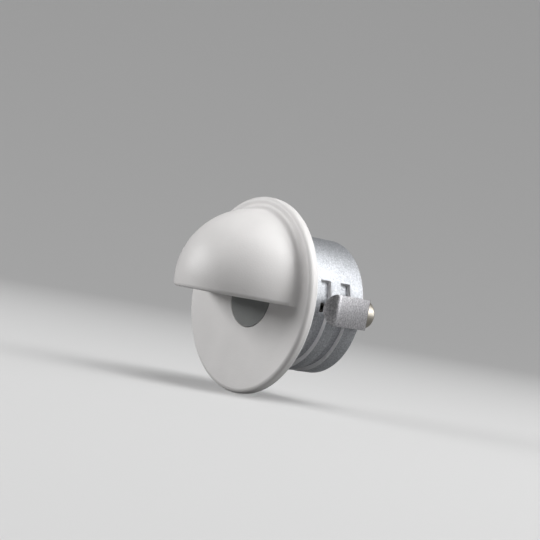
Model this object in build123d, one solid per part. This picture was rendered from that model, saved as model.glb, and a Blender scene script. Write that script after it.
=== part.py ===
from build123d import *
import math
import os

# Recessed wall light with an eyelid hood, in millimetres.
# The light looks along -Y out of the wall, +X is right seen from the front, +Z is up.
# The origin is on the light's axis in the wall plane, where the flange's back face rests.

# Bezel casting
flange_radius = 21.0
flange_thickness = 2.1
flange_edge_round = 0.9
flange_rear_round = 0.3
flange_margin = 2.8
dish_depth = 1.1
aperture_round = 0.3
hood_lift = 1.9
hood_sink = 0.55
hood_rim_drop = 0.8
hood_seam_round = 1.3
seam_bite = 0.4
hood_wall = 1.8
hood_rim_land = 0.2
spigot_wall = 1.6

# Lens, its gasket and the reflector
lens_lip = 2.85
lens_clearance = 0.1
lens_recess = 0.05
lens_skirt_clearance = 0.2
lens_skirt_thickness = 1.6
lens_gasket_thickness = 0.8
lens_gasket_clearance = 0.25
reflector_wall = 0.8
reflector_throat_radius = 2.8

# LED board, LED and thermal pad
led_board_thickness = 1.0
led_board_gap = 0.3
led_board_clearance = 0.5
led_package_side = 3.5
led_package_height = 0.9
led_dome_radius = 1.25
thermal_pad_thickness = 0.3
thermal_pad_inset = 0.2
led_screw_radius = 0.8
led_screw_head_radius = 1.5
led_screw_head_height = 1.0
led_screw_spigot_gap = 0.3
lead_radius = 0.5
lead_edge = 1.8
lead_angle = 54.0
lead_clearance = 0.25

# Housing
housing_radius = 14.65
housing_length = 18.0
housing_front_wall = 3.0
spigot_clearance = 0.1
web_thickness = 1.5
groove_width = 2.55
groove_pitch = 5.3
groove_count = 2
groove_depth = 1.0
groove_end_angle = 23.1
rear_edge_chamfer = 0.4
rear_rim_wall = 1.3
rear_ledge_width = 1.5
boss_radius = 3.0

# Rear cover, its gasket and the cable grommet
cover_thickness = 1.5
cover_clearance = 0.1
rear_gasket_thickness = 0.5
grommet_neck_radius = 3.5
grommet_flange_radius = 5.2
grommet_flange_height = 1.5
grommet_lip_radius = 4.6
grommet_lip_height = 0.8
grommet_clearance = 0.1
cable_bore_radius = 2.05

# Driver board and what is on it
driver_pad_thickness = 0.5
driver_pad_lead_gap = 0.5
driver_pad_screw_gap = 0.85
driver_board_thickness = 0.8
driver_board_clearance = 0.6
driver_room = 3.1
boss_clearance = 0.4
inductor_side = 5.0
inductor_height = 2.0
inductor_edge = 1.35
capacitor_size = (3.2, 2.5, 1.9)
capacitor_spread = 2.4
capacitor_edge = 2.0
rectifier_size = (4.0, 2.6, 1.6)
rectifier_edge = 3.75
rectifier_angle = 217.0
chip_size = (3.0, 3.0, 1.0)
chip_edge = 3.7
chip_angle = -37.5
resistor_size = (2.0, 1.25, 0.5)
resistor_edge = 3.4
resistor_angle = 36.0
terminal_size = (5.0, 3.2, 1.4)

# Spring clips
clip_width = 6.5
clip_thickness = 0.6
clip_bend_inside = 0.6
clip_standoff = 0.5
clip_flare_angle = 22.9
clip_arm_run = 12.6
clip_ear_turn = 63.0
clip_ear_length = 2.4
clip_joint_gap = 0.05

# Screws and washers
thread_clearance = 0.05
hole_clearance = 0.15
clip_screw_edge = 2.65
clip_screw_radius = 1.5
clip_screw_length = 8.0
clip_screw_tip_room = 0.4
clip_screw_head_radius = 2.95
clip_screw_head_height = 2.4
clip_washer_radius = 3.1
clip_washer_thickness = 0.6
lock_washer_radius = 2.7
lock_washer_thickness = 1.0
lock_washer_split = 0.5
head_round_share = 0.3
recess_depth_share = 0.45
recess_width_share = 0.28
recess_reach_share = 0.62
set_screw_radius = 1.0
set_screw_setback = 1.5
set_screw_bite = 0.3
set_screw_sink = 0.2
set_screw_socket_radius = 0.65
set_screw_socket_depth = 0.9

# How far a cutting tool runs past the face that it opens
cut_overrun = 1.0

# Radii worked out from the sizes above
hood_radius = flange_radius - flange_margin - hood_lift
dish_rim_radius = flange_radius - flange_edge_round
dish_sphere_radius = (dish_rim_radius**2 + dish_depth**2) / (2 * dish_depth)
front_bore_radius = housing_radius - housing_front_wall
spigot_radius = front_bore_radius - spigot_clearance
spigot_bore_radius = spigot_radius - spigot_wall
lens_skirt_radius = spigot_bore_radius - lens_skirt_clearance
aperture_radius = lens_skirt_radius - lens_lip
led_board_radius = front_bore_radius - led_board_clearance
cover_seat_radius = housing_radius - rear_rim_wall
cover_radius = cover_seat_radius - cover_clearance
rear_bore_radius = cover_seat_radius - rear_ledge_width
driver_board_radius = rear_bore_radius - driver_board_clearance
clip_hole_radius = clip_screw_radius + hole_clearance

# Faces along the axis, from the rear of the housing forwards
cover_back = housing_length
cover_front = cover_back - cover_thickness
ledge = cover_front - rear_gasket_thickness
driver_board_back = cover_front - driver_room
driver_board_front = driver_board_back - driver_board_thickness
web_back = driver_board_front - driver_pad_thickness
web_front = web_back - web_thickness
led_board_back = web_front - thermal_pad_thickness
led_board_front = led_board_back - led_board_thickness
spigot_end = led_board_front - led_board_gap
lens_skirt_front = lens_gasket_thickness
lens_skirt_back = lens_skirt_front + lens_skirt_thickness
flange_face = -flange_thickness
hood_root = flange_face + dish_depth

# Faces of what is clamped on the rear
foot_back = cover_back + clip_thickness
washer_back = foot_back + clip_washer_thickness
lock_washer_back = washer_back + lock_washer_thickness

# Places of the screws, the leads, the grooves and the clip's bend
set_screw_y = spigot_end - set_screw_setback
set_screw_tip = spigot_radius - set_screw_bite
set_screw_end = housing_radius - groove_depth - set_screw_sink
groove_front = set_screw_y - groove_width / 2
clip_bend_x = housing_radius + clip_standoff
clip_bend_y = cover_back - clip_bend_inside
clip_screw_offset = cover_radius - clip_screw_edge
clip_screw_places = [(-clip_screw_offset, 0), (clip_screw_offset, 0)]
led_screw_offset = spigot_bore_radius - led_screw_spigot_gap - led_screw_head_radius
led_screw_places = [(0, led_screw_offset), (0, -led_screw_offset)]
lead_across = (led_board_radius - lead_edge) * math.cos(math.radians(lead_angle))
lead_drop = (led_board_radius - lead_edge) * math.sin(math.radians(lead_angle))
lead_places = [(-lead_across, -lead_drop), (lead_across, -lead_drop)]


# Simple solids along the light's axis
def disc(radius, front, back, place=(0, 0)):
    middle = Pos(place[0], (front + back) / 2, place[1])
    return middle * Rot(90, 0, 0) * Cylinder(radius, back - front)


def ring(outer, inner, front, back, place=(0, 0)):
    return disc(outer, front, back, place) - disc(inner, front, back, place)


def discs(radius, front, back, places):
    return [disc(radius, front, back, place) for place in places]


def block(width, height, front, back, place=(0, 0)):
    middle = Pos(place[0], (front + back) / 2, place[1])
    return middle * Box(width, back - front, height)


def rod_across(radius, start, end, y):
    return Pos((start + end) / 2, y, 0) * Rot(0, 90, 0) * Cylinder(radius, end - start)


def set_screw_hole(start, end):
    return rod_across(set_screw_radius + thread_clearance, start, end, set_screw_y)


def turned(points):
    return revolve(make_face(Polyline(*points, close=True)), axis=Axis.Y)


def pan_head_screw(radius, length, head_radius, head_height):
    head = disc(head_radius, 0, head_height)
    crown = head.edges().filter_by(GeomType.CIRCLE).sort_by(Axis.Y)[-1]
    head = fillet(crown, head_height * head_round_share)
    recess_front = head_height * (1 - recess_depth_share)
    reach = 2 * head_radius * recess_reach_share
    slot = head_radius * recess_width_share
    head -= block(reach, slot, recess_front, head_height)
    head -= block(slot, reach, recess_front, head_height)
    return head + disc(radius, -length, 0)


# Bezel: dished flange, eyelid hood and the spigot that plugs into the housing
def dish_at(radius):
    return hood_root - dish_sphere_radius + math.sqrt(dish_sphere_radius**2 - radius**2)


def hood_ball(radius):
    # A ball joins itself along one line, which is turned to the back, where the root plane cuts it away.
    return Pos(0, flange_face + hood_sink, hood_lift) * Rot(0, 0, 90) * Sphere(radius)


def hood():
    rim_plane = Plane.XY.offset(-hood_rim_drop)
    root_plane = Plane.XZ.offset(-hood_root)
    shell = hood_ball(hood_radius) - hood_ball(hood_radius - hood_wall)
    shell = split(split(shell, bisect_by=root_plane, keep=Keep.TOP), bisect_by=rim_plane, keep=Keep.TOP)
    in_rim_plane = shell.edges().group_by(Axis.Z)[0]
    rim_edges = in_rim_plane.sort_by(SortBy.LENGTH)[-2:]
    return fillet(rim_edges, (hood_wall - hood_rim_land) / 2)


def hood_seam():
    # The round between two balls, here the hood and the dish, is a ring about the line through their centres.
    hood_centre = Vector(0, flange_face + hood_sink, hood_lift)
    dish_centre = Vector(0, hood_root - dish_sphere_radius, 0)
    spine = hood_centre - dish_centre
    to_hood = hood_radius + hood_seam_round
    to_dish = dish_sphere_radius - hood_seam_round
    along = (to_dish**2 - to_hood**2 - spine.length**2) / (2 * spine.length)
    across = math.sqrt(to_hood**2 - along**2)
    on_hood = (across * hood_radius / to_hood, along * hood_radius / to_hood)
    reach = dish_sphere_radius / to_dish
    on_dish = (across * reach, (along + spine.length) * reach - spine.length)
    root = (on_hood[0] - seam_bite, on_dish[1] + seam_bite)
    outline = [RadiusArc(on_hood, on_dish, hood_seam_round), Line(on_dish, root), Line(root, on_hood)]
    plane = Plane(hood_centre, x_dir=(1, 0, 0), z_dir=Vector(1, 0, 0).cross(spine))
    seam = revolve(plane * make_face(outline), axis=Axis(hood_centre, spine))
    return split(seam, bisect_by=Plane.XY.offset(-hood_rim_drop), keep=Keep.TOP)


def flange():
    edge_start = flange_face + flange_edge_round
    dish_rim = (dish_rim_radius, flange_face)
    rear_flat_radius = flange_radius - flange_rear_round
    rear_corner = (rear_flat_radius, -flange_rear_round)
    lip_radius = aperture_radius + aperture_round
    lip = (lip_radius, dish_at(lip_radius))
    bore_edge = (aperture_radius, dish_at(lip_radius) + aperture_round)
    outline = [
        Line((aperture_radius, 0), (rear_flat_radius, 0)),
        CenterArc(rear_corner, flange_rear_round, 90, -90),
        Line((flange_radius, -flange_rear_round), (flange_radius, edge_start)),
        CenterArc((dish_rim_radius, edge_start), flange_edge_round, 0, -90),
        RadiusArc(dish_rim, lip, -dish_sphere_radius),
        RadiusArc(lip, bore_edge, aperture_round),
        Line(bore_edge, (aperture_radius, 0)),
    ]
    return revolve(make_face(outline), axis=Axis.Y)


def bezel():
    spigot = ring(spigot_radius, spigot_bore_radius, 0, spigot_end)
    casting = flange() + hood() + hood_seam() + spigot
    return casting - set_screw_hole(set_screw_tip, spigot_radius + cut_overrun)


def lens():
    boss_front = dish_at(aperture_radius) + lens_recess
    boss = disc(aperture_radius - lens_clearance, boss_front, lens_skirt_front)
    return boss + disc(lens_skirt_radius, lens_skirt_front, lens_skirt_back)


def lens_gasket():
    return ring(lens_skirt_radius, aperture_radius + lens_gasket_clearance, 0, lens_gasket_thickness)


def reflector():
    rim = lens_skirt_radius
    throat = reflector_throat_radius
    return turned([
        (rim - reflector_wall, lens_skirt_back),
        (rim, lens_skirt_back),
        (throat + reflector_wall, led_board_front),
        (throat, led_board_front),
    ])


# LED board and what is on it
def led_board():
    board = disc(led_board_radius, led_board_front, led_board_back)
    hole_radius = led_screw_radius + hole_clearance
    return board - discs(hole_radius, led_board_front, led_board_back, led_screw_places)


def led_package():
    top = led_board_front - led_package_height
    return block(led_package_side, led_package_side, top, led_board_front)


def led_dome():
    top = led_board_front - led_package_height
    return Pos(0, top, 0) * split(Sphere(led_dome_radius), bisect_by=Plane.XZ, keep=Keep.TOP)


def led_screws():
    grip = led_board_thickness + thermal_pad_thickness + web_thickness
    screw = pan_head_screw(led_screw_radius, grip, led_screw_head_radius, led_screw_head_height)
    return Compound([Pos(x, led_board_front, z) * Rot(0, 0, 180) * screw for x, z in led_screw_places])


def thermal_pad():
    pad = disc(led_board_radius - thermal_pad_inset, led_board_back, web_front)
    pad -= discs(led_screw_radius + hole_clearance, led_board_back, web_front, led_screw_places)
    return pad - discs(lead_radius + lead_clearance, led_board_back, web_front, lead_places)


def lead(place):
    return disc(lead_radius, led_board_back, driver_board_front, place)


# Housing: a grooved cup with a web across it and two screw bosses behind the web
def groove(front):
    bottom = housing_radius - groove_depth
    cut = ring(housing_radius + cut_overrun, bottom, front, front + groove_width)
    reach = 2 * housing_radius
    end_height = reach * math.tan(math.radians(groove_end_angle))
    corners = [(0, 0), (reach, end_height), (reach, reach), (-reach, reach), (-reach, end_height)]
    wedge = Plane.XZ * make_face(Polyline(*corners, close=True))
    return cut - extrude(wedge, front + groove_width + cut_overrun, both=True)


def rear_space(front, back):
    return disc(rear_bore_radius, front, back) - discs(boss_radius, front, back, clip_screw_places)


def housing():
    tube = disc(housing_radius, 0, housing_length)
    rear_edge = tube.edges().filter_by(GeomType.CIRCLE).sort_by(Axis.Y)[-1]
    tube = chamfer(rear_edge, rear_edge_chamfer)
    tube -= disc(front_bore_radius, 0, web_front)
    tube -= rear_space(web_back, ledge)
    tube -= disc(cover_seat_radius, ledge, cover_back)
    for index in range(groove_count):
        tube -= groove(groove_front + index * groove_pitch)
    clip_hole_bottom = lock_washer_back - clip_screw_length - clip_screw_tip_room
    tube -= discs(clip_screw_radius + thread_clearance, clip_hole_bottom, ledge, clip_screw_places)
    tube -= discs(led_screw_radius + thread_clearance, web_front, web_back, led_screw_places)
    tube -= discs(lead_radius + lead_clearance, web_front, web_back, lead_places)
    return tube - set_screw_hole(front_bore_radius - cut_overrun, housing_radius)


def bezel_set_screw():
    screw = rod_across(set_screw_radius, set_screw_tip, set_screw_end, set_screw_y)
    mouth = Plane(origin=(set_screw_end, set_screw_y, 0), z_dir=(-1, 0, 0))
    return screw - extrude(mouth * RegularPolygon(set_screw_socket_radius, 6), set_screw_socket_depth)


# Driver board and what is on it
def driver_pad():
    width = 2 * (lead_across - lead_radius - driver_pad_lead_gap)
    height = 2 * (led_screw_offset - led_screw_radius - driver_pad_screw_gap)
    return block(width, height, web_back, driver_board_front)


def driver_board():
    board = disc(driver_board_radius, driver_board_front, driver_board_back)
    notch_radius = boss_radius + boss_clearance
    return board - discs(notch_radius, driver_board_front, driver_board_back, clip_screw_places)


def from_board_edge(edge, angle):
    place = Vector(driver_board_radius - edge, 0).rotate(Axis.Z, angle)
    return (place.X, place.Y)


def on_driver_board(size, place):
    return block(size[0], size[1], driver_board_back, driver_board_back + size[2], place)


def inductor():
    rise = driver_board_radius - inductor_edge - inductor_side / 2
    return on_driver_board((inductor_side, inductor_side, inductor_height), (0, rise))


def capacitors():
    drop = driver_board_radius - capacitor_edge - capacitor_size[1] / 2
    places = [(-capacitor_spread, -drop), (capacitor_spread, -drop)]
    return Compound([on_driver_board(capacitor_size, place) for place in places])


def resistors():
    angles = [resistor_angle, 180 - resistor_angle]
    places = [from_board_edge(resistor_edge, angle) for angle in angles]
    return Compound([on_driver_board(resistor_size, place) for place in places])


# Rear cover, its gasket and the cable grommet
def rear_gasket():
    gasket = disc(cover_radius, ledge, cover_front) - rear_space(ledge, cover_front)
    return gasket - discs(clip_hole_radius, ledge, cover_front, clip_screw_places)


def rear_cover():
    plate = disc(cover_radius, cover_front, cover_back)
    plate -= disc(grommet_neck_radius + grommet_clearance, cover_front, cover_back)
    return plate - discs(clip_hole_radius, cover_front, cover_back, clip_screw_places)


def cable_grommet():
    flange = disc(grommet_flange_radius, cover_back, cover_back + grommet_flange_height)
    outer_edge = flange.edges().filter_by(GeomType.CIRCLE).sort_by(Axis.Y)[-1]
    flange = fillet(outer_edge, grommet_flange_height / 2)
    lip_front = cover_front - grommet_lip_height
    plug = flange + disc(grommet_neck_radius, cover_front, cover_back)
    plug += disc(grommet_lip_radius, lip_front, cover_front)
    return plug - disc(cable_bore_radius, lip_front, cover_back + grommet_flange_height)


# Spring clips: a foot under the screw, then a flared arm that ends in a rounded ear
def clip_foot():
    foot_end = clip_bend_x - clip_joint_gap
    middle = (clip_screw_offset + foot_end) / 2
    strip = block(foot_end - clip_screw_offset, clip_width, cover_back, foot_back, (middle, 0))
    strip += disc(clip_width / 2, cover_back, foot_back, (clip_screw_offset, 0))
    return strip - disc(clip_hole_radius, cover_back, foot_back, (clip_screw_offset, 0))


def clip_arm():
    flare = math.radians(clip_flare_angle)
    along = Vector(math.sin(flare), -math.cos(flare))
    rear_centre = Vector(clip_bend_x, clip_bend_y)
    front_centre = rear_centre + along * clip_arm_run
    inside = clip_bend_inside
    outside = clip_bend_inside + clip_thickness
    rear_turn = 90 - clip_flare_angle
    rear_inside = CenterArc(rear_centre, inside, 90, -rear_turn)
    rear_outside = CenterArc(rear_centre, outside, 90, -rear_turn)
    front_inside = CenterArc(front_centre, inside, clip_flare_angle, -clip_ear_turn)
    front_outside = CenterArc(front_centre, outside, clip_flare_angle, -clip_ear_turn)
    outline = [
        rear_inside,
        Line(rear_inside @ 1, front_inside @ 0),
        front_inside,
        Line(front_inside @ 1, front_outside @ 1),
        front_outside,
        Line(front_outside @ 0, rear_outside @ 1),
        rear_outside,
        Line(rear_outside @ 0, rear_inside @ 0),
    ]
    strip = extrude(make_face(outline), clip_width / 2, both=True)
    ear_root = (front_inside @ 1 + front_outside @ 1) / 2
    ear_along = front_outside % 1
    ear_plane = Plane(origin=ear_root, x_dir=ear_along, z_dir=ear_along.cross(Vector(0, 0, 1)))
    tip = ThreePointArc((0, -clip_width / 2), (clip_ear_length, 0), (0, clip_width / 2))
    ear = make_face([tip, Line(tip @ 1, tip @ 0)])
    return strip + extrude(ear_plane * ear, clip_thickness / 2, both=True)


def clip_washer(place):
    return ring(clip_washer_radius, clip_hole_radius, foot_back, washer_back, place)


def lock_washer(place):
    washer = ring(lock_washer_radius, clip_hole_radius, washer_back, lock_washer_back, place)
    side = lock_washer_radius
    split_place = (place[0], place[1] + side / 2)
    return washer - block(lock_washer_split, side, washer_back, lock_washer_back, split_place)


def clip_screw(place):
    head_sizes = (clip_screw_head_radius, clip_screw_head_height)
    screw = pan_head_screw(clip_screw_radius, clip_screw_length, *head_sizes)
    return Pos(place[0], lock_washer_back, place[1]) * screw


nodes = {
    "bezel": bezel(),
    "lens": lens(),
    "lens_gasket": lens_gasket(),
    "reflector": reflector(),
    "led_board": led_board(),
    "led_package": led_package(),
    "led_dome": led_dome(),
    "led_screws": led_screws(),
    "thermal_pad": thermal_pad(),
    "lead_negative": lead(lead_places[0]),
    "lead_positive": lead(lead_places[1]),
    "housing": housing(),
    "bezel_set_screw": bezel_set_screw(),
    "driver_pad": driver_pad(),
    "driver_board": driver_board(),
    "inductor": inductor(),
    "capacitors": capacitors(),
    "rectifier": on_driver_board(rectifier_size, from_board_edge(rectifier_edge, rectifier_angle)),
    "driver_chip": on_driver_board(chip_size, from_board_edge(chip_edge, chip_angle)),
    "resistors": resistors(),
    "supply_terminal": on_driver_board(terminal_size, (0, 0)),
    "rear_gasket": rear_gasket(),
    "rear_cover": rear_cover(),
    "cable_grommet": cable_grommet(),
    "clip_foot_right": clip_foot(),
    "clip_foot_left": mirror(clip_foot(), about=Plane.YZ),
    "clip_arm_right": clip_arm(),
    "clip_arm_left": mirror(clip_arm(), about=Plane.YZ),
    "clip_washers": Compound([clip_washer(place) for place in clip_screw_places]),
    "lock_washers": Compound([lock_washer(place) for place in clip_screw_places]),
    "clip_screws": Compound([clip_screw(place) for place in clip_screw_places]),
}

os.makedirs("parts", exist_ok=True)
for name, shape in nodes.items():
    export_step(shape, f"parts/{name}.step")
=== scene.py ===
import math

import bmesh
import bpy
from bpy.props import FloatProperty, FloatVectorProperty, IntProperty, PointerProperty
from mathutils import Matrix, Vector


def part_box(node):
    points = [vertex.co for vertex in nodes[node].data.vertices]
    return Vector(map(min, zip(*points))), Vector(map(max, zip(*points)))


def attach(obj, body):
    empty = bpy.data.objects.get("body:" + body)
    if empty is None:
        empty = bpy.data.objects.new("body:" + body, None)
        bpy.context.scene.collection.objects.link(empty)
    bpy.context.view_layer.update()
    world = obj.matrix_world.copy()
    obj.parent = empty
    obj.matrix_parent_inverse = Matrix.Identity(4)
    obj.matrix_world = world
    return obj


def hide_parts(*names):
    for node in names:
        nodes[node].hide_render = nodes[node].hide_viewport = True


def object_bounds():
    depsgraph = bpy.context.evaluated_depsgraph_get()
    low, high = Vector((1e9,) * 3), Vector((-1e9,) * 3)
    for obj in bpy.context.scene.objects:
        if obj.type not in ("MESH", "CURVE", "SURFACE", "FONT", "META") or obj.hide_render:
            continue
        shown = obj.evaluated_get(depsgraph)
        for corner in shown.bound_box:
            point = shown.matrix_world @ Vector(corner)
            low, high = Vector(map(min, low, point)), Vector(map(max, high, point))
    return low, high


bl_info = {
    "name": "Recessed wall light",
    "version": (1, 0, 0),
    "blender": (4, 5, 0),
    "location": "View3D > Sidebar > Wall light",
    "description": "Dresses a small recessed wall light with an eyelid bezel",
    "category": "Add Mesh",
}

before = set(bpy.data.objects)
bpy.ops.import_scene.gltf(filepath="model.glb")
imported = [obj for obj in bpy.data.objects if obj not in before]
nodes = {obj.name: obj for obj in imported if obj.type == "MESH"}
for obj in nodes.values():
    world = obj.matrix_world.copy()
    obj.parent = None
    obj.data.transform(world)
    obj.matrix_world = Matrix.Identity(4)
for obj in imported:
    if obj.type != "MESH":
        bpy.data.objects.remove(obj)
cad_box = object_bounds()

MM = 0.001
MERGE_DISTANCE = 0.002 * MM
FLAT_ANGLE = math.radians(0.3)
CREASE_ANGLE = math.radians(28)
EDGE_SEGMENTS = 2
SENSOR_WIDTH = 36
# Noise stays mostly in this range, which is stretched so that patches reach both colours
NOISE_RANGE = (0.28, 0.72)
# Keeps the painted light on the grooves' walls off the housing's skin and the grooves' floors
PAINTED_LIGHT_MARGIN = 0.04 * MM


# Colours and node helpers
def linear(hex_colour):
    channels = [int(hex_colour[i:i + 2], 16) / 255 for i in (1, 3, 5)]
    return [c / 12.92 if c <= 0.04045 else ((c + 0.055) / 1.055) ** 2.4 for c in channels] + [1.0]


def add_node(tree, kind, inputs=None, **settings):
    node = tree.nodes.new(kind)
    for name, value in settings.items():
        setattr(node, name, value)
    for socket, value in (inputs or {}).items():
        if isinstance(value, bpy.types.NodeSocket):
            tree.links.new(value, node.inputs[socket])
        else:
            node.inputs[socket].default_value = value
    return node


def empty_material(name):
    material = bpy.data.materials.new(name)
    material.use_nodes = True
    material.node_tree.nodes.clear()
    return material


def grained_material(name, colour, patch_colour, patch, grain, depth, roughness, shader):
    """A surface with patches of two colours, uneven roughness and a fine raised grain.

    patch, grain and depth are in metres: the width of a patch, the spacing and the height of the grain.
    """
    material = empty_material(name)
    tree = material.node_tree
    place = add_node(tree, "ShaderNodeTexCoord").outputs["Object"]
    patches = add_node(tree, "ShaderNodeTexNoise", {"Vector": place, "Scale": 1 / patch, "Detail": 3.0})
    speckle = add_node(tree, "ShaderNodeTexNoise", {"Vector": place, "Scale": 1 / grain, "Detail": 2.0})
    share = add_node(
        tree, "ShaderNodeMapRange",
        {"Value": patches.outputs["Fac"], "From Min": NOISE_RANGE[0], "From Max": NOISE_RANGE[1]})
    mixed = add_node(
        tree, "ShaderNodeMix", {0: share.outputs["Result"], 6: colour, 7: patch_colour}, data_type="RGBA")
    rough = add_node(
        tree, "ShaderNodeMapRange",
        {"Value": speckle.outputs["Fac"], "To Min": roughness[0], "To Max": roughness[1]})
    bump = add_node(tree, "ShaderNodeBump", {"Height": speckle.outputs["Fac"], "Distance": depth})
    surface = add_node(
        tree, "ShaderNodeBsdfPrincipled",
        {"Base Color": mixed.outputs[2], "Roughness": rough.outputs["Result"],
         "Normal": bump.outputs["Normal"], **shader})
    add_node(tree, "ShaderNodeOutputMaterial", {"Surface": surface.outputs["BSDF"]})
    return material


def paint_light_in_grooves(material, middle, reach, colour, roughness):
    """Paints light on what lies about a middle radius from the light's axis, within reach: a lighter colour
    and more roughness there stand in for light thrown onto the grooves' walls.
    """
    tree = material.node_tree
    surface = next(node for node in tree.nodes if node.type == "BSDF_PRINCIPLED")
    place = add_node(tree, "ShaderNodeTexCoord").outputs["Object"]
    across = add_node(
        tree, "ShaderNodeVectorMath", {0: place, 1: (1, 0, 1)}, operation="MULTIPLY").outputs["Vector"]
    radius = add_node(tree, "ShaderNodeVectorMath", {0: across}, operation="LENGTH").outputs["Value"]
    cut = add_node(tree, "ShaderNodeMath", {0: radius, 1: middle, 2: reach}, operation="COMPARE").outputs[0]
    skin_colour = surface.inputs["Base Color"].links[0].from_socket
    skin_roughness = surface.inputs["Roughness"].links[0].from_socket
    # Painted light: the walls get the lighter colour in place of light thrown into the grooves
    mixed = add_node(tree, "ShaderNodeMix", {0: cut, 6: skin_colour, 7: colour}, data_type="RGBA")
    rough = add_node(tree, "ShaderNodeMix", {0: cut, 2: skin_roughness, 3: roughness}, data_type="FLOAT")
    tree.links.new(mixed.outputs[2], surface.inputs["Base Color"])
    tree.links.new(rough.outputs[0], surface.inputs["Roughness"])


def dress(material, *names):
    for name in names:
        nodes[name].material_slots[0].material = material


# Mesh helpers
def new_piece(name, mesh, material, body, slot, *replaced):
    piece = bpy.data.objects.new(name, mesh)
    bpy.context.scene.collection.objects.link(piece)
    mesh.materials.clear()
    mesh.materials.append(material)
    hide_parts(*replaced)
    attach(piece, body)
    return piece


def smooth_mesh(name, shape):
    mesh = bpy.data.meshes.new(name)
    shape.to_mesh(mesh)
    shape.free()
    mesh.shade_smooth()
    mesh.set_sharp_from_angle(angle=CREASE_ANGLE)
    return mesh


def broken_edge_mesh(name, node, width):
    """A copy of a CAD node with a small round along every sharp edge."""
    shape = bmesh.new()
    shape.from_mesh(nodes[node].data)
    bmesh.ops.remove_doubles(shape, verts=shape.verts, dist=MERGE_DISTANCE)
    bmesh.ops.dissolve_limit(shape, angle_limit=FLAT_ANGLE, verts=shape.verts, edges=shape.edges)
    sharp = [edge for edge in shape.edges if edge.is_manifold and edge.calc_face_angle() > CREASE_ANGLE]
    bmesh.ops.bevel(
        shape, geom=sharp, offset=width, offset_type="OFFSET", segments=EDGE_SEGMENTS, profile=0.5,
        affect="EDGES", clamp_overlap=False)
    return smooth_mesh(name, shape)


def turned_shape(outline, steps, closed):
    """Spins (radius, height) points round the Z axis. A closed outline makes a ring."""
    shape = bmesh.new()
    turns = [math.tau * step / steps for step in range(steps)]
    rings = [
        [shape.verts.new((radius * math.cos(turn), radius * math.sin(turn), height)) for turn in turns]
        for radius, height in outline]
    neighbours = list(zip(rings, rings[1:]))
    if closed:
        neighbours.append((rings[-1], rings[0]))
    # Faces are added one by one and not by a spin, whose order of faces changes from run to run
    for here, there in neighbours:
        for step in range(steps):
            after = (step + 1) % steps
            shape.faces.new((here[step], here[after], there[after], there[step]))
    bmesh.ops.remove_doubles(shape, verts=shape.verts, dist=MERGE_DISTANCE)
    bmesh.ops.recalc_face_normals(shape, faces=shape.faces)
    return shape


def along_axis(shape):
    """Turns a shape made round the Z axis to lie along the light's own axis, +Y."""
    bmesh.ops.rotate(shape, verts=shape.verts, cent=(0, 0, 0), matrix=Matrix.Rotation(-math.pi / 2, 3, "X"))
    return shape


# Settings
class WallLightFinish(bpy.types.PropertyGroup):
    """Colours of the finishes that show."""

    coat: FloatVectorProperty(
        name="Bezel coat", description="Powder coat on the bezel", subtype="COLOR", size=4,
        min=0, max=1, default=linear("#E9E7E6"))
    # Painted shade: the lens is drawn mid grey for the shade under the hood and behind it
    lens: FloatVectorProperty(
        name="Lens", description="Frosted lens, unlit", subtype="COLOR", size=4,
        min=0, max=1, default=linear("#8E9190"))
    housing: FloatVectorProperty(
        name="Housing", description="Blasted aluminium", subtype="COLOR", size=4,
        min=0, max=1, default=linear("#CACCD0"))
    spring: FloatVectorProperty(
        name="Spring clips", description="Rolled spring steel", subtype="COLOR", size=4,
        min=0, max=1, default=linear("#DAD9DB"))
    plating: FloatVectorProperty(
        name="Screws", description="Nickel plate on the screws and washers", subtype="COLOR", size=4,
        min=0, max=1, default=linear("#BDB8AE"))
    floor: FloatVectorProperty(
        name="Floor", description="Floor and backdrop as the camera sees them", subtype="COLOR", size=4,
        min=0, max=1, default=linear("#AAAAAA"))
    bounce: FloatVectorProperty(
        name="Floor bounce", description="Floor and backdrop as they light the object", subtype="COLOR",
        size=4, min=0, max=1, default=linear("#808080"))


class WallLightSizes(bpy.types.PropertyGroup):
    """Sizes of the details that the CAD solids leave plain."""

    edge_round: FloatProperty(
        name="Broken edge", description="Round on the machined edges", unit="LENGTH", default=0.16 * MM)
    strip_round: FloatProperty(
        name="Strip edge", description="Round on the spring clips' edges", unit="LENGTH", default=0.1 * MM)
    groove_depth: FloatProperty(
        name="Groove depth", description="Grooves round the housing", unit="LENGTH", default=1.0 * MM)
    screw_head_radius: FloatProperty(
        name="Screw head radius", description="Pan head of the clip screws", unit="LENGTH",
        default=2.95 * MM)
    screw_radius: FloatProperty(
        name="Screw radius", description="Shank of the clip screws", unit="LENGTH", default=1.5 * MM)
    screw_head_height: FloatProperty(
        name="Screw head height", description="Pan head of the clip screws", unit="LENGTH", default=2.4 * MM)
    screw_crown: FloatProperty(
        name="Screw crown", description="Round on the pan head", unit="LENGTH", default=0.7 * MM)
    washer_clearance: FloatProperty(
        name="Washer clearance", description="Between a washer and its screw", unit="LENGTH",
        default=0.15 * MM)
    recess_width: FloatProperty(
        name="Recess width", description="Slot of the cross recess", unit="LENGTH", default=0.8 * MM)
    recess_reach: FloatProperty(
        name="Recess reach", description="Length of each slot", unit="LENGTH", default=3.5 * MM)
    recess_depth: FloatProperty(
        name="Recess depth", description="Depth of the cross recess", unit="LENGTH", default=1.1 * MM)
    turning_steps: IntProperty(
        name="Turning steps", description="Sides of a turned piece", min=16, max=256, default=72)


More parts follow.
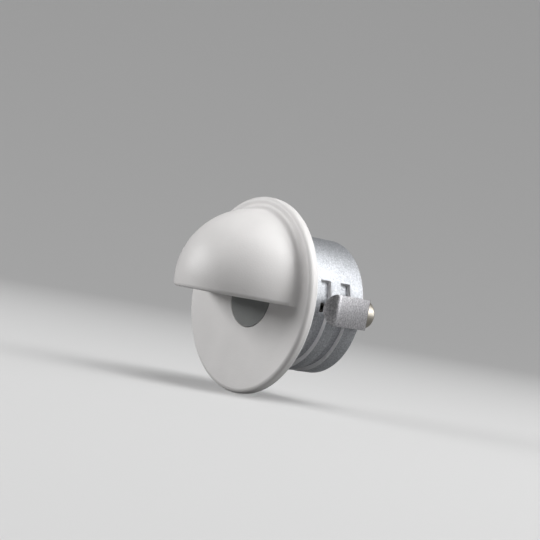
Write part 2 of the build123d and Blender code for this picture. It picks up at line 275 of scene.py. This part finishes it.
class WallLightStage(bpy.types.PropertyGroup):
    """Camera, lamps and floor."""

    azimuth: FloatProperty(
        name="Azimuth", description="Camera angle round the light", subtype="ANGLE",
        default=math.radians(53.428))
    elevation: FloatProperty(
        name="Elevation", description="Camera angle above the light's axis", subtype="ANGLE",
        default=math.radians(0.452))
    roll: FloatProperty(
        name="Roll", description="Turn of the camera about its view", subtype="ANGLE",
        default=math.radians(10.159))
    distance: FloatProperty(
        name="Distance", description="Camera to the flange's centre", unit="LENGTH", default=315 * MM)
    lens: FloatProperty(
        name="Focal length", description="On a sensor 36 mm wide", subtype="DISTANCE_CAMERA", default=98.83)
    shift_x: FloatProperty(name="Shift across", description="Share of the image's width", default=0.0279)
    shift_y: FloatProperty(name="Shift up", description="Share of the image's width", default=0.0470)
    ambient: FloatProperty(name="Ambient", description="Strength of the world's light", default=0.12)
    floor_lift: FloatProperty(
        name="Floor lift", description="Glow of the floor that only the camera sees", default=0.22)
    floor_radius: FloatProperty(
        name="Floor radius", description="Flat part of the floor", unit="LENGTH", default=600 * MM)
    floor_sweep: FloatProperty(
        name="Floor sweep", description="Curve between floor and backdrop", unit="LENGTH", default=600 * MM)
    backdrop_height: FloatProperty(
        name="Backdrop height", description="Above the floor", unit="LENGTH", default=1200 * MM)


def settings():
    scene = bpy.context.scene
    return scene.wall_light_finish, scene.wall_light_sizes, scene.wall_light_stage


# Operators, one for each piece or group of pieces
class WALL_LIGHT_OT_bezel(bpy.types.Operator):
    """Coats the bezel's flange, eyelid and spigot"""

    bl_idname = "wall_light.bezel"
    bl_label = "Bezel"

    def execute(self, context):
        finish, _, _ = settings()
        # Powder coat on a die casting: satin, with a fine even grain and hardly any colour change.
        # The real grain is about 0.1 mm and is drawn coarser, to show in the render.
        coat = grained_material(
            "satin_powder_coat", finish.coat, linear("#E3E1E0"), 7 * MM, 0.32 * MM, 0.022 * MM,
            (0.36, 0.48), {"IOR": 1.5})
        dress(coat, "bezel")
        return {"FINISHED"}


class WALL_LIGHT_OT_optics(bpy.types.Operator):
    """Finishes the lens and the reflector"""

    bl_idname = "wall_light.optics"
    bl_label = "Lens and reflector"

    def execute(self, context):
        finish, _, _ = settings()
        # Etched polycarbonate, with the LED off: dull, with a faint depth. Its mid grey is painted shade,
        # standing in for the shade under the hood and in the housing behind the lens.
        # The etch is finer than 0.1 mm and is drawn coarser, to show in the render.
        lens = grained_material(
            "frosted_polycarbonate_painted_shade", finish.lens, linear("#868988"), 4 * MM, 0.25 * MM, 0.002 * MM,
            (0.34, 0.44), {"IOR": 1.58, "Transmission Weight": 0.2})
        # Moulded white polycarbonate with a polished inside.
        reflector = grained_material(
            "polished_white_polycarbonate", linear("#EDEDEA"), linear("#E6E6E2"), 5 * MM, 0.6 * MM,
            0.001 * MM, (0.10, 0.18), {"IOR": 1.58})
        dress(lens, "lens")
        dress(reflector, "reflector")
        return {"FINISHED"}


class WALL_LIGHT_OT_housing(bpy.types.Operator):
    """Makes the grooved housing with broken edges"""

    bl_idname = "wall_light.housing"
    bl_label = "Housing"

    def execute(self, context):
        finish, sizes, _ = settings()
        # Bead-blasted aluminium under clear anodising: a soft broad shine broken by a coarse speckle.
        # The real grain is about 0.1 mm and is drawn coarser, to show in the render.
        metal = grained_material(
            "blasted_aluminium", finish.housing, linear("#9FA2A6"), 0.36 * MM, 0.40 * MM, 0.055 * MM,
            (0.50, 0.64), {"Metallic": 1.0})
        # The grooves' walls are drawn lighter and rougher than the blasted skin. The lighter colour is
        # painted light: it stands in for the light that the flange's white back throws onto the walls.
        _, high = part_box("housing")
        half_depth = sizes.groove_depth / 2
        paint_light_in_grooves(metal, high.z - half_depth, half_depth - PAINTED_LIGHT_MARGIN, linear("#F3F3F4"), 0.9)
        mesh = broken_edge_mesh("housing_turned", "housing", sizes.edge_round)
        new_piece("housing_turned", mesh, metal, "light", "housing_metal", "housing")
        return {"FINISHED"}


class WALL_LIGHT_OT_clips(bpy.types.Operator):
    """Makes the spring clips' feet and arms with broken edges"""

    bl_idname = "wall_light.clips"
    bl_label = "Spring clips"

    def execute(self, context):
        finish, sizes, _ = settings()
        # Rolled spring steel, tumbled after bending: matte, with a coarse bright and dark speckle.
        # The real marks are about 0.1 mm and are drawn coarser, to show in the render.
        steel = grained_material(
            "tumbled_spring_steel", finish.spring, linear("#96959A"), 0.36 * MM, 0.40 * MM, 0.040 * MM,
            (0.36, 0.50), {"Metallic": 1.0})
        for side in ("right", "left"):
            for part, body in (("foot", "light"), ("arm", f"{side}_clip")):
                node = f"clip_{part}_{side}"
                mesh = broken_edge_mesh(f"{node}_strip", node, sizes.strip_round)
                new_piece(f"{node}_strip", mesh, steel, body, "spring_steel", node)
        return {"FINISHED"}


def pair_tree():
    """A tree that cuts a cross recess if asked, and sets the piece on both sides of the light's axis."""
    tree = bpy.data.node_groups.new("Pair across the light", "GeometryNodeTree")
    face = tree.interface
    face.new_socket("Geometry", in_out="INPUT", socket_type="NodeSocketGeometry")
    for name in ("Spacing", "Recess Width", "Recess Reach", "Recess Depth", "Head Top"):
        face.new_socket(name, in_out="INPUT", socket_type="NodeSocketFloat")
    face.new_socket("Cross Recess", in_out="INPUT", socket_type="NodeSocketBool")
    face.new_socket("Material", in_out="INPUT", socket_type="NodeSocketMaterial")
    face.new_socket("Geometry", in_out="OUTPUT", socket_type="NodeSocketGeometry")
    given = add_node(tree, "NodeGroupInput").outputs
    width, reach, depth = given["Recess Width"], given["Recess Reach"], given["Recess Depth"]
    # Each block is centred on the head's top, so only half of its height cuts
    deep = add_node(tree, "ShaderNodeMath", {0: depth, 1: 2.0}, operation="MULTIPLY").outputs[0]
    at_top = add_node(tree, "ShaderNodeCombineXYZ", {"Y": given["Head Top"]}).outputs[0]
    slots = []
    for across, up in ((reach, width), (width, reach)):
        size = add_node(tree, "ShaderNodeCombineXYZ", {"X": across, "Y": deep, "Z": up}).outputs[0]
        cube = add_node(tree, "GeometryNodeMeshCube", {"Size": size}).outputs["Mesh"]
        slots.append(add_node(tree, "GeometryNodeTransform", {"Geometry": cube, "Translation": at_top}))
    cut = add_node(tree, "GeometryNodeMeshBoolean", {"Mesh 1": given["Geometry"]}, operation="DIFFERENCE")
    for slot in slots:
        tree.links.new(slot.outputs["Geometry"], cut.inputs["Mesh 2"])
    piece = add_node(
        tree, "GeometryNodeSwitch",
        {"Switch": given["Cross Recess"], "False": given["Geometry"], "True": cut.outputs["Mesh"]},
        input_type="GEOMETRY").outputs["Output"]
    half = add_node(tree, "ShaderNodeMath", {0: given["Spacing"], 1: -0.5}, operation="MULTIPLY").outputs[0]
    start = add_node(tree, "ShaderNodeCombineXYZ", {"X": half}).outputs[0]
    step = add_node(tree, "ShaderNodeCombineXYZ", {"X": given["Spacing"]}).outputs[0]
    line = add_node(tree, "GeometryNodeMeshLine", {"Count": 2, "Start Location": start, "Offset": step})
    pair = add_node(
        tree, "GeometryNodeInstanceOnPoints", {"Points": line.outputs["Mesh"], "Instance": piece})
    real = add_node(tree, "GeometryNodeRealizeInstances", {"Geometry": pair.outputs["Instances"]})
    coated = add_node(
        tree, "GeometryNodeSetMaterial",
        {"Geometry": real.outputs["Geometry"], "Material": given["Material"]})
    add_node(tree, "NodeGroupOutput", {"Geometry": coated.outputs["Geometry"]})
    return tree


def paired_mesh(name, shape, tree, inputs):
    """Runs the pair tree on a shape and gives the result as a plain mesh."""
    maker = bpy.data.objects.new(name, smooth_mesh(name, shape))
    bpy.context.scene.collection.objects.link(maker)
    modifier = maker.modifiers.new("Pair", "NODES")
    modifier.node_group = tree
    for socket in tree.interface.items_tree:
        if socket.in_out == "INPUT" and socket.name in inputs:
            modifier[socket.identifier] = inputs[socket.name]
    evaluated = maker.evaluated_get(bpy.context.evaluated_depsgraph_get())
    mesh = bpy.data.meshes.new_from_object(evaluated)
    bpy.data.objects.remove(maker)
    mesh.shade_smooth()
    mesh.set_sharp_from_angle(angle=CREASE_ANGLE)
    return mesh


class WALL_LIGHT_OT_fasteners(bpy.types.Operator):
    """Makes the clip screws, their washers and their lock washers, and finishes the other screws"""

    bl_idname = "wall_light.fasteners"
    bl_label = "Screws and washers"

    def execute(self, context):
        finish, sizes, _ = settings()
        # Nickel-plated steel: a warm bright metal with a slight haze.
        # Its grain and the oxide's are drawn coarser than the real ones, to show in the render.
        plating = grained_material(
            "nickel_plated_steel", finish.plating, linear("#ADA89E"), 1.5 * MM, 0.22 * MM, 0.002 * MM,
            (0.36, 0.48), {"Metallic": 1.0})
        # Black oxide on an alloy steel set screw: dark, with an oily sheen.
        oxide = grained_material(
            "black_oxide_steel", linear("#5A5754"), linear("#4A4745"), 0.5 * MM, 0.2 * MM, 0.003 * MM,
            (0.35, 0.50), {"Metallic": 1.0})
        dress(plating, "led_screws")
        dress(oxide, "bezel_set_screw")
        tree = pair_tree()
        low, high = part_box("clip_screws")
        spacing = high.x - low.x - 2 * sizes.screw_head_radius
        self.make_screws(sizes, plating, tree, spacing)
        self.make_washers(sizes, plating, tree, spacing)
        mesh = broken_edge_mesh("lock_washer_pair", "lock_washers", sizes.strip_round)
        new_piece("lock_washer_pair", mesh, plating, "light", "plated_steel", "lock_washers")
        return {"FINISHED"}

    def make_screws(self, sizes, plating, tree, spacing):
        low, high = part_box("clip_screws")
        shank, head, crown = sizes.screw_radius, sizes.screw_head_radius, sizes.screw_crown
        under_head = high.y - sizes.screw_head_height
        outline = [(0, low.y), (shank, low.y), (shank, under_head), (head, under_head)]
        for angle in range(0, 91, 10):
            turn = math.radians(angle)
            outline.append((head - crown + crown * math.cos(turn), high.y - crown + crown * math.sin(turn)))
        outline.append((0, high.y))
        screw = along_axis(turned_shape(outline, sizes.turning_steps, closed=False))
        inputs = {
            "Spacing": spacing, "Head Top": high.y, "Cross Recess": True, "Material": plating,
            "Recess Width": sizes.recess_width, "Recess Reach": sizes.recess_reach,
            "Recess Depth": sizes.recess_depth}
        mesh = paired_mesh("clip_screw_pair", screw, tree, inputs)
        new_piece("clip_screw_pair", mesh, plating, "light", "plated_steel", "clip_screws")

    def make_washers(self, sizes, plating, tree, spacing):
        low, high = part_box("clip_washers")
        inner = sizes.screw_radius + sizes.washer_clearance
        outer = (high.z - low.z) / 2
        outline = [(inner, low.y), (outer, low.y), (outer, high.y), (inner, high.y)]
        washer = along_axis(turned_shape(outline, sizes.turning_steps, closed=True))
        inputs = {"Spacing": spacing, "Cross Recess": False, "Material": plating}
        mesh = paired_mesh("washer_pair", washer, tree, inputs)
        new_piece("washer_pair", mesh, plating, "light", "plated_steel", "clip_washers")


class WALL_LIGHT_OT_rear(bpy.types.Operator):
    """Makes the rear cover with broken edges, and finishes the gaskets and the grommet"""

    bl_idname = "wall_light.rear"
    bl_label = "Rear cover and rubber"

    def execute(self, context):
        _, sizes, _ = settings()
        # Glass-filled nylon, moulded in a spark-eroded tool: black with a dry fine grain.
        # This grain and the rubber's are drawn coarser than the real ones, to show in the render.
        nylon = grained_material(
            "glass_filled_nylon", linear("#232325"), linear("#1C1C1E"), 4 * MM, 0.35 * MM, 0.010 * MM,
            (0.42, 0.62), {"IOR": 1.53})
        # Moulded EPDM rubber: black, dull, slightly dusty.
        rubber = grained_material(
            "epdm_rubber", linear("#202020"), linear("#292928"), 3 * MM, 0.30 * MM, 0.006 * MM,
            (0.60, 0.80), {"IOR": 1.52})
        mesh = broken_edge_mesh("rear_cover_moulded", "rear_cover", sizes.edge_round)
        new_piece("rear_cover_moulded", mesh, nylon, "light", "black_plastic", "rear_cover")
        dress(rubber, "lens_gasket", "rear_gasket", "cable_grommet")
        return {"FINISHED"}


# Patch width and grain height of what is inside the housing
INNER_PATCH = 2 * MM
INNER_DEPTH = 0.003 * MM
# Name, two colours, grain in mm, roughness, shader settings and nodes of each finish inside the housing.
# The grains are drawn coarser than the real ones, to show in the render.
INNER_FINISHES = (
    # White solder mask over an aluminium core: smooth and slightly creamy
    ("white_solder_mask", "#E4E4DF", "#DCDCD6", 0.5, (0.28, 0.36), {"IOR": 1.5}, ("led_board",)),
    # Green solder mask on glass epoxy: glossy, with the weave just showing
    ("green_solder_mask", "#1E6638", "#1A5A31", 0.4, (0.22, 0.34), {"IOR": 1.5}, ("driver_board",)),
    # Phosphor in silicone on a ceramic base: matte deep yellow
    ("phosphor_ceramic", "#E7C94E", "#E0BE42", 0.2, (0.45, 0.60), {"IOR": 1.5}, ("led_package",)),
    # Clear silicone: colourless and glossy
    ("clear_silicone", "#F7F5EC", "#F3F0E4", 0.8, (0.04, 0.08),
     {"IOR": 1.41, "Transmission Weight": 1.0}, ("led_dome",)),
    # Filled silicone sheet: soft grey with a dry surface
    ("thermal_silicone", "#7C8086", "#74787E", 0.3, (0.60, 0.75), {"IOR": 1.43},
     ("thermal_pad", "driver_pad")),
    # Extruded PVC insulation: smooth and slightly shiny
    ("red_pvc", "#A3201A", "#941C17", 0.5, (0.30, 0.42), {"IOR": 1.53}, ("lead_positive",)),
    ("black_pvc", "#1A1A1A", "#202020", 0.5, (0.30, 0.42), {"IOR": 1.53}, ("lead_negative",)),
    # Moulded epoxy: black with a fine sandy surface
    ("moulded_epoxy", "#18181A", "#1E1E20", 0.2, (0.45, 0.60), {"IOR": 1.55},
     ("rectifier", "driver_chip", "resistors")),
    # Sintered ferrite: dark grey and dull
    ("sintered_ferrite", "#2C2A2A", "#343131", 0.25, (0.50, 0.65), {"IOR": 1.6}, ("inductor",)),
    # Fired capacitor ceramic: tan with a slight gloss
    ("fired_ceramic", "#8F7357", "#84694F", 0.3, (0.30, 0.45), {"IOR": 1.55}, ("capacitors",)),
    # Moulded nylon: off-white with a soft sheen
    ("moulded_nylon", "#E1DFD6", "#D9D7CD", 0.35, (0.38, 0.52), {"IOR": 1.53}, ("supply_terminal",)),
)


class WALL_LIGHT_OT_electrics(bpy.types.Operator):
    """Finishes the boards, the LED, the driver's parts, the pads and the leads"""

    bl_idname = "wall_light.electrics"
    bl_label = "LED and driver"

    def execute(self, context):
        for name, colour, patch_colour, grain, roughness, shader, dressed in INNER_FINISHES:
            material = grained_material(
                name, linear(colour), linear(patch_colour), INNER_PATCH, grain * MM, INNER_DEPTH, roughness,
                shader)
            dress(material, *dressed)
        return {"FINISHED"}


def pointing(azimuth, elevation):
    """The direction from the light to a viewer or lamp. At azimuth 0 it stands in front, at -Y."""
    level = math.cos(elevation)
    return Vector((math.sin(azimuth) * level, -math.cos(azimuth) * level, math.sin(elevation)))


def camera_axes(stage):
    """Right, up and back vectors of the camera."""
    back = pointing(stage.azimuth, stage.elevation)
    across = Vector((0, 0, 1)).cross(back).normalized()
    upright = back.cross(across)
    right = across * math.cos(stage.roll) + upright * math.sin(stage.roll)
    up = upright * math.cos(stage.roll) - across * math.sin(stage.roll)
    return right, up, back


# Softboxes: name, turn from the camera and height above the light's axis in degrees,
# distance, width and height in metres, power in watts
SOFTBOXES = (
    ("left_softbox", -92, 17, 0.60, 0.44, 0.24, 2.3),
    ("top_softbox", 42, 68, 0.60, 0.38, 0.38, 1.9),
    ("upper_right_softbox", 72, 44, 0.60, 0.38, 0.38, 2.2),
    ("right_softbox", 92, 18, 0.60, 0.62, 0.26, 1.45),
)


class WALL_LIGHT_OT_stage(bpy.types.Operator):
    """Sets the floor, the softboxes, the world and the camera"""

    bl_idname = "wall_light.stage"
    bl_label = "Stage"

    def execute(self, context):
        finish, sizes, stage = settings()
        scene = context.scene
        scene.view_settings.view_transform = "Standard"
        right, up, back = camera_axes(stage)
        self.make_camera(scene, stage, right, up, back)
        for name, turn, height, distance, width, tall, power in SOFTBOXES:
            direction = pointing(stage.azimuth + math.radians(turn), math.radians(height))
            self.make_softbox(scene, name, direction, distance, width, tall, power)
        self.make_world(scene, stage)
        self.make_floor(scene, finish, sizes, stage)
        return {"FINISHED"}

    def make_camera(self, scene, stage, right, up, back):
        data = bpy.data.cameras.new("photo_camera")
        data.lens = stage.lens
        data.sensor_width = SENSOR_WIDTH
        data.shift_x = stage.shift_x
        data.shift_y = stage.shift_y
        data.clip_start = 10 * MM
        camera = bpy.data.objects.new("photo_camera", data)
        scene.collection.objects.link(camera)
        turn = Matrix((right, up, back)).transposed().to_4x4()
        camera.matrix_world = Matrix.Translation(back * stage.distance) @ turn
        scene.camera = camera

    def make_softbox(self, scene, name, direction, distance, width, tall, power):
        data = bpy.data.lights.new(name, "AREA")
        data.shape = "RECTANGLE"
        data.size = width
        data.size_y = tall
        data.energy = power
        lamp = bpy.data.objects.new(name, data)
        scene.collection.objects.link(lamp)
        lamp.visible_camera = False
        lamp.location = direction * distance
        lamp.rotation_mode = "QUATERNION"
        lamp.rotation_quaternion = (-direction).to_track_quat("-Z", "Y")

    def make_world(self, scene, stage):
        world = bpy.data.worlds.new("studio")
        scene.world = world
        world.use_nodes = True
        tree = world.node_tree
        tree.nodes.clear()
        light = add_node(
            tree, "ShaderNodeBackground", {"Color": linear("#FFFFFF"), "Strength": stage.ambient})
        add_node(tree, "ShaderNodeOutputWorld", {"Surface": light.outputs["Background"]})

    def make_floor(self, scene, finish, sizes, stage):
        low, _ = cad_box
        radius, sweep = stage.floor_radius, stage.floor_sweep
        outline = [(0, low.z)]
        for angle in range(0, 91, 5):
            turn = math.radians(angle)
            outline.append((radius + sweep * math.sin(turn), low.z + sweep * (1 - math.cos(turn))))
        outline.append((radius + sweep, low.z + stage.backdrop_height))
        mesh = smooth_mesh("floor", turned_shape(outline, sizes.turning_steps, closed=False))
        floor = bpy.data.objects.new("floor", mesh)
        scene.collection.objects.link(floor)
        mesh.materials.append(self.paper(finish, stage))

    def paper(self, finish, stage):
        """Matte seamless paper, pale where the camera sees it and darker in what it throws on the object."""
        material = empty_material("seamless_paper")
        tree = material.node_tree
        path = add_node(tree, "ShaderNodeLightPath").outputs
        seen = add_node(
            tree, "ShaderNodeMath", {0: path["Is Camera Ray"], 1: path["Is Transmission Ray"]},
            operation="MAXIMUM").outputs[0]
        colour = add_node(
            tree, "ShaderNodeMix", {0: seen, 6: finish.bounce, 7: finish.floor}, data_type="RGBA")
        lift = add_node(
            tree, "ShaderNodeMath", {0: seen, 1: stage.floor_lift}, operation="MULTIPLY").outputs[0]
        surface = add_node(
            tree, "ShaderNodeBsdfPrincipled",
            {"Base Color": colour.outputs[2], "Roughness": 0.9, "IOR": 1.4,
             "Emission Color": linear("#FFFFFF"), "Emission Strength": lift})
        add_node(tree, "ShaderNodeOutputMaterial", {"Surface": surface.outputs["BSDF"]})
        return material


OPERATORS = (
    WALL_LIGHT_OT_bezel, WALL_LIGHT_OT_optics, WALL_LIGHT_OT_housing, WALL_LIGHT_OT_clips,
    WALL_LIGHT_OT_fasteners, WALL_LIGHT_OT_rear, WALL_LIGHT_OT_electrics, WALL_LIGHT_OT_stage,
)


class WALL_LIGHT_PT_panel(bpy.types.Panel):
    """Lists the steps and the settings"""

    bl_idname = "WALL_LIGHT_PT_panel"
    bl_label = "Wall light"
    bl_space_type = "VIEW_3D"
    bl_region_type = "UI"
    bl_category = "Wall light"

    def draw(self, context):
        for operator in OPERATORS:
            self.layout.operator(operator.bl_idname)
        for group in settings():
            for name in group.__annotations__:
                self.layout.prop(group, name)


GROUPS = {
    "wall_light_finish": WallLightFinish,
    "wall_light_sizes": WallLightSizes,
    "wall_light_stage": WallLightStage,
}


def register():
    for name, group in GROUPS.items():
        bpy.utils.register_class(group)
        setattr(bpy.types.Scene, name, PointerProperty(type=group))
    for operator in OPERATORS:
        bpy.utils.register_class(operator)
    bpy.utils.register_class(WALL_LIGHT_PT_panel)


def unregister():
    bpy.utils.unregister_class(WALL_LIGHT_PT_panel)
    for operator in reversed(OPERATORS):
        bpy.utils.unregister_class(operator)
    for name, group in GROUPS.items():
        delattr(bpy.types.Scene, name)
        bpy.utils.unregister_class(group)


def main():
    register()
    bpy.ops.wall_light.bezel()
    bpy.ops.wall_light.optics()
    bpy.ops.wall_light.housing()
    bpy.ops.wall_light.clips()
    bpy.ops.wall_light.fasteners()
    bpy.ops.wall_light.rear()
    bpy.ops.wall_light.electrics()
    bpy.ops.wall_light.stage()


if __name__ == "__main__":
    main()
